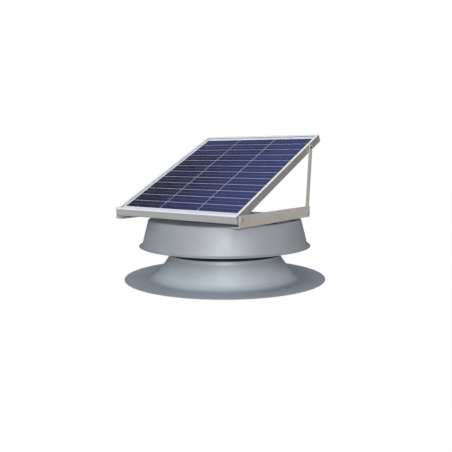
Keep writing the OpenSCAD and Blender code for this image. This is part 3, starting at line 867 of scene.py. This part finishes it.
@dataclass(frozen=True)
class ClearGlass(Finish):
    """Low iron solar glass: almost clear, with its gloss and a faint rolled texture.

    Nearly all light goes through; the layer below carries the rest of the gloss.
    """

    clear: float = 0.06
    ior: float = 1.5
    roll: float = 2 * MM
    roll_depth: float = 0.01 * MM

    def detail(self, graph: Graph) -> dict:
        """Its clearness, and the marks of the roller as a bump.

        Args:
            graph: the material's nodes.

        Returns:
            What goes into the shader.
        """
        roll = graph.add("TexNoise", cloudy(graph.place(), self.roll, octaves=1.0))
        bump = graph.add("Bump", {"Height": roll, "Distance": self.roll_depth})
        return {"Alpha": self.clear, "IOR": self.ior, "Normal": bump}


class Finishes:
    """Every finish of the object."""

    # Powder coat, satin: the broad highlight of the shroud.
    spun = SpunPaint("powder_coated_spun_aluminium", "#b0b4b8", 0.62, 0.42)
    # The same coat on the flashing, painted lighter than on the shroud as painted light, with
    # painted shade darkening it towards the sheltered top under the shroud's lip, and a darker flat brim.
    flashing = SpunPaint("powder_coated_spun_flashing", "#ced6dd", 0.62, 0.35,
                         lip_shade=(22 * MM, 84 * MM, 0.6), brim_darkening=(9 * MM, 3 * MM, 0.3))
    # Black powder coat on steel, dull: the screen's own black, kept near-black so that the gap under the
    # shroud reads black as painted shade.
    screen = Grained("black_powder_coated_steel", "#060607", 0.9, second="#0c0d0e")
    # Zinc plate on steel: cool, bright, blotchy.
    zinc = Grained("zinc_plated_steel", "#c4c6ca", 0.42, 0.6, second="#9b9da2", share=0.5,
                   patch=4 * MM, depth=0.01 * MM)
    # EPDM rubber: matt black, faint bloom.
    rubber = Grained("moulded_epdm_rubber", "#141415", 0.75, second="#222326")
    # Black paint on the motor's drawn steel can.
    motor_paint = Grained("black_enamelled_steel", "#101113", 0.35, second="#1c1d20", patch=20 * MM)
    # Die cast aluminium: grey, sandy.
    cast = Grained("die_cast_aluminium", "#a3a6aa", 0.5, 1.0, second="#85888c",
                   grain=0.5 * MM, depth=0.05 * MM)
    # Glass filled nylon: dark, dry, with a spark eroded mould texture.
    nylon = Grained("moulded_glass_filled_nylon", "#17181a", 0.55, second="#232427")
    # Ground steel of bearings and shaft: bright, lined.
    ground = Ground("ground_bearing_steel", "#c9cbcf", 0.2, 1.0)
    # Rolled aluminium sheet of the fan: bright, lined along X.
    fan_sheet = Extruded("rolled_aluminium_sheet", "#c3c6ca", 0.34, 1.0, shade="#a0a3a8")
    # Mill finish aluminium of rails and struts: warm grey, the warmth a painted reflection of the yard.
    rail = Extruded("mill_finish_aluminium_angle", "#dfd6cb", 0.5, 0.35, shade="#c4bbb0",
                    along=(1.0, 0.02, 1.0))
    # Clear anodised aluminium, lines across the panel, painted lighter than the side bars as painted light.
    frame_across_lit = Extruded("clear_anodised_aluminium_across", "#d2d2d0", 0.42, 0.3,
                            shade="#bfbdb7", shade_share=0.3)
    # Clear anodised aluminium, lines up the slope, painted darker and warmer than the front and rear bars
    # as painted shade.
    frame_along_shaded = Extruded("clear_anodised_aluminium_along", "#aeaba4", 0.42, 0.35, shade="#958f85",
                           along=(1.0, 0.02, 1.0), turn=-PANEL.tilt)
    # The same aluminium on the frame's top lip, painted white: a painted highlight.
    frame_rim_highlight = Extruded("clear_anodised_aluminium_rim", WHITE, 0.36, 0.1, shade="#e9edf2", shade_share=0.3)
    # Low iron rolled glass: clear, glossy.
    glass = ClearGlass("low_iron_solar_glass", "#060908", 0.05)
    # Blue coated silicon: dark, glittering in blotches.
    silicon = SiliconCells("polycrystalline_silicon", "#1e2549", 0.4)
    # Tinned copper ribbon: soft silver, with a painted blue reflection of the cells beside it.
    ribbon = Grained("tinned_copper_ribbon", "#7f86ab", 0.45, 0.5, second="#6f759c")
    # White polyester backsheet: the bright margin and the lines between the cells.
    backsheet = Backsheet("white_polyester_backsheet", WHITE, 0.5)
    # Black polyphenylene box: fine moulded grain.
    box = Grained("moulded_polyphenylene_oxide", "#16171a", 0.48, second="#202226")


@dataclass
class Flashing:
    """The spun flashing: flat brim, curved foot, cone and collar, from one sheet."""

    thickness: float = 1.5 * MM
    brim_r: float = 330.0 * MM
    collar_r: float = 183.5 * MM
    collar_top: float = 122.0 * MM
    cone_top: float = 72.0 * MM
    cone_lean: float = math.radians(35.0)
    foot_curve_r: float = 45.0 * MM
    collar_bend_r: float = 12.0 * MM
    bend_steps: int = 24
    turns: int = 288

    def path(self) -> Array:
        """The sheet's middle line from the collar's rim to the brim's edge.

        The cone's foot is its height times the tangent of its lean further out than its top.

        Returns:
            The line's points (radius, height).
        """
        half = self.thickness / 2
        rim = self.collar_r - half
        foot = rim + (self.cone_top - half) * math.tan(self.cone_lean)
        corners = [[rim, self.collar_top - half], [rim, self.cone_top], [foot, half],
                   [self.brim_r - half, half]]
        return rounded(corners, [self.collar_bend_r, self.foot_curve_r], self.bend_steps, closed=False)

    def build(self) -> None:
        """Turns the sheet's outline about the fan's axis."""
        surface = revolve(sheet_loop(self.path(), self.thickness), self.turns)
        make_piece("flashing_spun", surface, Finishes.flashing, "root", ["flashing"])


@dataclass
class Shroud:
    """The spun shroud: flat top, rounded corner, conical skirt and flared lip."""

    thickness: float = 1.5 * MM
    top: float = 196.0 * MM
    top_r: float = 250.0 * MM
    skirt_r: float = 271.0 * MM
    skirt_bottom: float = 112.5 * MM
    lip_r: float = 281.0 * MM
    lip_z: float = 108.0 * MM
    corner_r: float = 7.0 * MM
    flare_r: float = 5.0 * MM
    bend_steps: int = 16
    turns: int = 288

    def path(self) -> Array:
        """The sheet's middle line from the axis to the lip's edge.

        Returns:
            The line's points (radius, height).
        """
        half = self.thickness / 2
        corners = [[0.0, self.top - half], [self.top_r - half, self.top - half],
                   [self.skirt_r - half, self.skirt_bottom], [self.lip_r - half, self.lip_z + half]]
        return rounded(corners, [self.corner_r, self.flare_r], self.bend_steps, closed=False)

    def build(self) -> None:
        """Turns the sheet's outline about the axis, closed there by one point a side."""
        surface = revolve(sheet_loop(self.path(), self.thickness), self.turns)
        make_piece("shroud_spun", surface, Finishes.spun, "root", ["shroud"])


@dataclass
class PanelFrame:
    """The panel's frame: one extrusion, mitred into four bars round the laminate."""

    width: float = 463.0 * MM
    length: float = 530.0 * MM
    depth: float = 24.0 * MM
    wall: float = 1.6 * MM
    lip: float = 8.0 * MM
    flange: float = 20.0 * MM
    laminate: float = 4.2 * MM
    groove_lip: float = 1.4 * MM
    trim_width: float = 0.8 * MM
    trim_depth: float = 0.4 * MM
    trim_at: Pair = (7.2 * MM, 9.8 * MM)
    edge: float = 0.3 * MM
    mitre_gap: float = 0.12 * MM

    def section(self) -> Array:
        """The extrusion's outline: inwards from its outer face, and up from its bottom.

        Returns:
            The outline's points, with the top lip, the laminate's groove and two trim grooves.
        """
        shelf = self.depth - self.wall - self.laminate
        outer = [[0.0, 0.0]]
        for drop in reversed(self.trim_at):
            low, high = self.depth - drop - self.trim_width, self.depth - drop
            outer += [[0.0, low], [self.trim_depth, low], [self.trim_depth, high], [0.0, high]]
        under, ledge = self.depth - self.wall, shelf - self.groove_lip
        inner = [[0.0, self.depth], [self.lip, self.depth], [self.lip, under], [self.wall, under],
                 [self.wall, shelf], [self.lip, shelf], [self.lip, ledge], [self.wall, ledge],
                 [self.wall, self.wall], [self.flange, self.wall], [self.flange, 0.0]]
        return rounded(outer + inner, self.edge / 2)

    def bar(self, length: float) -> Surface:
        """One bar along +X with its outer face on Y = 0 and its top on Z = 0, mitred at both ends.

        Each point starts and ends as far from the corner as it lies inwards.

        Args:
            length: the panel's side that the bar covers.

        Returns:
            The closed bar.
        """
        section = (self.section() - np.array([0.0, self.depth]))[::-1]
        inward = np.abs(section[:, 0]) + self.mitre_gap
        return loft([np.column_stack([ends, section]) for ends in (inward, length - inward)])

    def highlight_faces(self, surface: Surface) -> Array:
        """1 for each face of a bar's top lip, whose points all lie within the wall, else 0: where the
        painted highlight goes.
        """
        heights = surface.points[:, 2]
        return np.array([int(np.all(heights[face] > -self.wall - self.edge)) for face in surface.faces])

    def build(self) -> None:
        """Places the four bars round the panel's edge."""
        half = self.width / 2
        quarter = math.pi / 2
        # The front and rear bars take the lit finish and the side bars the shaded one: painted light and
        # shade on one aluminium.
        bars = [
            ("frame_front", self.width, (-half, 0.0, 0.0), 0.0, Finishes.frame_across_lit),
            ("frame_right", self.length, (half, 0.0, 0.0), quarter, Finishes.frame_along_shaded),
            ("frame_rear", self.width, (half, self.length, 0.0), 2 * quarter, Finishes.frame_across_lit),
            ("frame_left", self.length, (-half, self.length, 0.0), -quarter, Finishes.frame_along_shaded),
        ]
        for node, length, corner, turn, finish in bars:
            place = PANEL.matrix @ Matrix.Translation(corner) @ Matrix.Rotation(turn, 4, "Z")
            flat = self.bar(length)
            piece = make_piece(node + "_bar", flat.placed(place), finish, "panel", [node])
            # The top lip takes the white finish, a painted highlight.
            piece.data.materials.append(Finishes.frame_rim_highlight.material)
            piece.data.polygons.foreach_set("material_index", self.highlight_faces(flat))
        dress(Finishes.zinc, "corner_keys")


@dataclass
class Laminate:
    """Glass, cells, ribbons and backsheet, and the box on the back."""

    def build(self) -> None:
        """Dresses the layers, which are true flat solids."""
        dress(Finishes.glass, "glass")
        dress(Finishes.silicon, "cells")
        dress(Finishes.ribbon, "cell_ribbons")
        dress(Finishes.backsheet, "backsheet")
        dress(Finishes.box, "junction_box", "junction_lid", "cable_gland")


@dataclass
class Rails:
    """The two angle rails that lie on the shroud's top."""

    thickness: float = 2.5 * MM
    outer_edge: float = 0.5 * MM
    inner_r: float = 1.6 * MM
    arc_steps: int = 4

    def section(self, low: Vector, high: Vector) -> Array:
        """The angle's outline (x, z), between the corners of its box.

        Args:
            low: the box's low corner.
            high: its high corner.

        Returns:
            The outline's points, with the angle's inner corner rounded wider.
        """
        wall = self.thickness
        points = [[low.x, low.z], [high.x, low.z], [high.x, high.z], [high.x - wall, high.z],
                  [high.x - wall, low.z + wall], [low.x, low.z + wall]]
        edge = self.outer_edge
        return rounded(points, [edge, edge, edge, edge, self.inner_r, edge], self.arc_steps)

    def build(self) -> None:
        """Carries the angle from the front end of its box to the rear one."""
        low, high = (Vector(corner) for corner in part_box("rail_right"))
        section = self.section(low, high)
        ends = [np.insert(section, 1, y, axis=1) for y in (high.y, low.y)]
        surface = loft(ends)
        for side in Side:
            name = f"rail_{side.word}"
            make_piece(name + "_angle", surface.mirrored(side), Finishes.rail, "root", [name])


@dataclass
class Struts:
    """The flat bars that hold the panel up, with round ends."""

    width: float = 20.0 * MM
    edge: float = 0.35 * MM
    end_steps: int = 24

    def outline(self, foot: Array, head: Array) -> Array:
        """A stadium round two points: half circles joined by straight sides.

        Args:
            foot: the lower point (y, z).
            head: the upper one.

        Returns:
            The outline's points.
        """
        along = (head - foot) / np.linalg.norm(head - foot)
        across = np.array([-along[1], along[0]])
        angles = np.linspace(-0.5, 0.5, self.end_steps + 1) * math.pi
        cap = np.outer(np.cos(angles), along) + np.outer(np.sin(angles), across)
        return np.vstack([head + cap * self.width / 2, foot - cap * self.width / 2])

    def build(self) -> None:
        """Cuts each strut between its joint and its top screw."""
        low, high = (np.array(corner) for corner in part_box("strut_right"))
        screw = np.mean(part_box("strut_screw_right"), axis=0)
        outline = self.outline(np.array(joint_place("right_strut_swing"))[1:], screw[1:])
        surface = slab(outline, low[0], high[0], self.edge)
        for side in Side:
            name = f"strut_{side.word}"
            make_piece(name + "_bar", surface.mirrored(side), Finishes.rail, f"{side.word}_strut", [name])


@dataclass
class GuardScreen:
    """The slotted black band in the gap, and a black strip over its lower edge that paints the lip's
    shadow.
    """

    sheet: float = 1.2 * MM
    fold: float = 0.5 * MM
    # Height of the strip that paints the lip's shadow in the gap.
    shade_strip_height: float = 8.4 * MM
    turns: int = 192

    def build(self) -> None:
        """Dresses the band and turns the painted shade strip's section, a rounded box round the sheet,
        about the axis.
        """
        dress(Finishes.screen, "guard_screen")
        low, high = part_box("guard_screen")
        inner, outer = high[0] - self.sheet - self.fold, high[0] + self.fold
        foot, head = low[2] - self.fold, low[2] + self.shade_strip_height
        section = rounded([[inner, foot], [outer, foot], [outer, head], [inner, head]], self.fold)
        # A solid black strip round the screen's foot, put there as painted shade: the lip's shadow in the
        # gap.
        make_piece("guard_screen_shade_strip", revolve(section, self.turns), Finishes.screen, "root",
                   ["guard_screen"], stands_in=False)


@dataclass
class Hardware:
    """Fasteners, seals and straps."""

    def build(self) -> None:
        """Dresses the CAD nodes by what they are made of."""
        dress(Finishes.rubber, "shroud_washers", "rail_washers", "rail_pads", "wire_grommet")
        corners = [f"strap_{end}_{side.word}" for end in ("front", "rear") for side in Side]
        dress(Finishes.zinc, *corners, "strap_rivets", "bracket_rivets", "shroud_bolts", "shroud_nuts")
        dress(Finishes.zinc, "rail_bolts", "rail_nuts", "hinge_bolts", "hinge_spacers", "hinge_nuts")
        dress(Finishes.zinc, "pivot_rivets", "strut_screw_left", "strut_screw_right")


@dataclass
class MotorAndFan:
    """Motor, its bracket, and the fan that it turns."""

    blades: int = 5

    def build(self) -> None:
        """Dresses the CAD nodes by what they are made of."""
        dress(Finishes.zinc, "motor_bracket", "motor_screws", "blade_rivets", "hub_screw")
        dress(Finishes.cast, "motor_bell", "fan_hub")
        dress(Finishes.motor_paint, "motor_can")
        dress(Finishes.nylon, "motor_cap")
        dress(Finishes.ground, "front_bearing", "rear_bearing", "motor_shaft")
        dress(Finishes.fan_sheet, "fan_spider", *[f"blade_{number + 1}" for number in range(self.blades)])


@dataclass(frozen=True)
class Lamp:
    """A distant lamp: where it stands, in degrees, how strong and how wide it is."""

    name: str
    azimuth: float
    height: float
    strength: float
    width: float

    def build(self) -> None:
        """Aims the lamp at the object from its azimuth and height."""
        data = bpy.data.lights.new(self.name, "SUN")
        data.energy = self.strength
        data.angle = math.radians(self.width)
        turn, rise = math.radians(self.azimuth), math.radians(self.height)
        toward = Vector((math.sin(turn) * math.cos(rise), -math.cos(turn) * math.cos(rise), math.sin(rise)))
        add_object(self.name, data).rotation_euler = toward.to_track_quat("Z", "Y").to_euler()


@dataclass(frozen=True)
class Sky:
    """The studio's surroundings as colour and strength: left, right and overhead.

    The overhead part starts and is full at the two heights of a direction in rise.
    """

    left: tuple[str, float]
    right: tuple[str, float]
    overhead: tuple[str, float]
    rise: Pair = (0.0, 0.9)

    def build(self, graph: Graph, rightness: Node, up: Socket) -> Node:
        """Mixes the three parts, each its linear colour times its strength, by direction.

        Args:
            graph: the world's nodes.
            rightness: 0 at the view's left to 1 at its right.
            up: the direction's height, from 0 to 1.

        Returns:
            The sky's colour.
        """
        left, right, overhead = (
            (*(strength * light for light in linear_colour(code)[:3]), 1.0)
            for code, strength in (self.left, self.right, self.overhead)
        )
        above = graph.add("MapRange", {"Value": up, "From Min": self.rise[0], "From Max": self.rise[1]})
        low = graph.add("Mix", {0: rightness, 6: left, 7: right}, data_type="RGBA")
        return graph.add("Mix", {0: above, 6: low, 7: overhead}, data_type="RGBA")


@dataclass
class Studio:
    """Camera, lamps, floor and world."""

    azimuth: float = math.radians(36.22)
    yaw_offset: float = math.radians(-0.12)
    pitch: float = math.radians(6.66)
    roll: float = math.radians(-0.16)
    distance: float = 1965.7 * MM
    height: float = 398.8 * MM
    focal_pixels: float = 599.49
    frame_pixels: float = 452.0
    sensor: float = 36.0
    furthest: float = 50.0
    floor_half: float = 6.0
    floor_drop: float = 0.4 * MM
    floor_tone: str = "#989692"
    floor_glow: float = 1.06
    floor_glow_share: float = 0.93
    lamps: tuple[Lamp, ...] = (
        Lamp("key", 35.0, 9.0, 1.75, 2.0),
        Lamp("front_sky", 40.0, 18.0, 0.85, 36.0),
        Lamp("high_sky", -8.0, 60.0, 0.35, 30.0),
    )
    side_span: Pair = (-0.7, 0.9)
    matt_sky: Sky = Sky(("#f4f8ff", 0.4), ("#988f86", 0.1), ("#dfeaff", 0.6))
    gloss_sky: Sky = Sky(("#f6f9ff", 0.5), ("#988f86", 0.6), ("#eaf2ff", 0.12), rise=(0.05, 0.65))

    def camera(self) -> None:
        """A plain camera at the photograph's angle; its lens gives the fitted focal length.

        It looks along its yaw and pitch, and its right and up are turned by the roll.
        """
        yaw = self.azimuth + self.yaw_offset
        out = math.cos(self.pitch)
        ahead = Vector((-math.sin(yaw) * out, math.cos(yaw) * out, -math.sin(self.pitch)))
        level = Vector((math.cos(yaw), math.sin(yaw), 0.0))
        above = level.cross(ahead)
        right = math.cos(self.roll) * level + math.sin(self.roll) * above
        up = -math.sin(self.roll) * level + math.cos(self.roll) * above
        turn = Matrix((right, up, -ahead)).transposed().to_4x4()
        stand = Vector((math.sin(self.azimuth), -math.cos(self.azimuth), 0.0)) * self.distance
        data = bpy.data.cameras.new("photo_camera")
        data.sensor_width = self.sensor
        data.lens = self.focal_pixels / self.frame_pixels * self.sensor
        data.clip_end = self.furthest
        camera = add_object("photo_camera", data)
        camera.matrix_world = Matrix.Translation(stand + Vector((0.0, 0.0, self.height))) @ turn
        bpy.context.scene.camera = camera

    def world(self) -> None:
        """White to the camera; to the object one sky for matt surfaces and one for gloss."""
        world = bpy.data.worlds.new("studio")
        graph = bare_graph(world)
        where = graph.add("TexCoord").outputs["Generated"]
        up = graph.add("SeparateXYZ", {0: where}).outputs["Z"]
        level = (math.cos(self.azimuth), math.sin(self.azimuth), 0.0)
        aside = graph.add("VectorMath", {0: where, 1: level}, operation="DOT_PRODUCT")
        start, end = self.side_span
        rightness = graph.add("MapRange", {"Value": aside, "From Min": start, "From Max": end})
        path = graph.add("LightPath").outputs
        matt, gloss = (sky.build(graph, rightness, up) for sky in (self.matt_sky, self.gloss_sky))
        sky = graph.add("Mix", {0: path["Is Glossy Ray"], 6: matt, 7: gloss}, data_type="RGBA")
        lit = graph.add("Background", {"Color": sky})
        white = graph.add("Background", {"Color": WHITE})
        seen = {0: path["Is Camera Ray"], 1: path["Is Transmission Ray"]}
        clear = graph.add("Math", seen, operation="MAXIMUM")
        graph.add("OutputWorld", {0: graph.add("MixShader", {0: clear, 1: lit, 2: white})})
        bpy.context.scene.world = world

    def floor(self) -> None:
        """A pale floor, white to the camera and clear from below, that keeps the object's shadow."""
        half = self.floor_half
        corners = [(-half, -half), (half, -half), (half, half), (-half, half)]
        mesh = bpy.data.meshes.new("floor")
        mesh.from_pydata([(*corner, -self.floor_drop) for corner in corners], [], [(0, 1, 2, 3)])
        material = bpy.data.materials.new("pale_floor")
        graph = bare_graph(material)
        seen = graph.add("LightPath").outputs["Is Camera Ray"]
        share = graph.add("MapRange", {"Value": seen, "To Max": self.floor_glow_share})
        matt = graph.add("BsdfDiffuse", {"Color": self.floor_tone})
        glow = graph.add("Emission", {"Color": WHITE, "Strength": self.floor_glow})
        top = graph.add("MixShader", {0: share, 1: matt, 2: glow})
        below = graph.add("NewGeometry").outputs["Backfacing"]
        shown = graph.add("MixShader", {0: below, 1: top, 2: graph.add("BsdfTransparent")})
        graph.add("OutputMaterial", {0: shown})
        mesh.materials.append(material)
        add_object("floor", mesh)

    def build(self) -> None:
        """Sets up the view."""
        bpy.context.scene.view_settings.view_transform = "Standard"
        self.camera()
        for lamp in self.lamps:
            lamp.build()
        self.world()
        self.floor()
        LOG.info("studio is ready")


def main() -> None:
    """Builds the object in order."""
    logging.basicConfig(level=logging.INFO, format="%(name)s: %(message)s")
    for assembly in (Flashing(), Shroud(), PanelFrame(), Laminate(), Rails(), Struts(),
                     GuardScreen(), Hardware(), MotorAndFan(), Studio()):
        assembly.build()


if __name__ == "__main__":
    main()
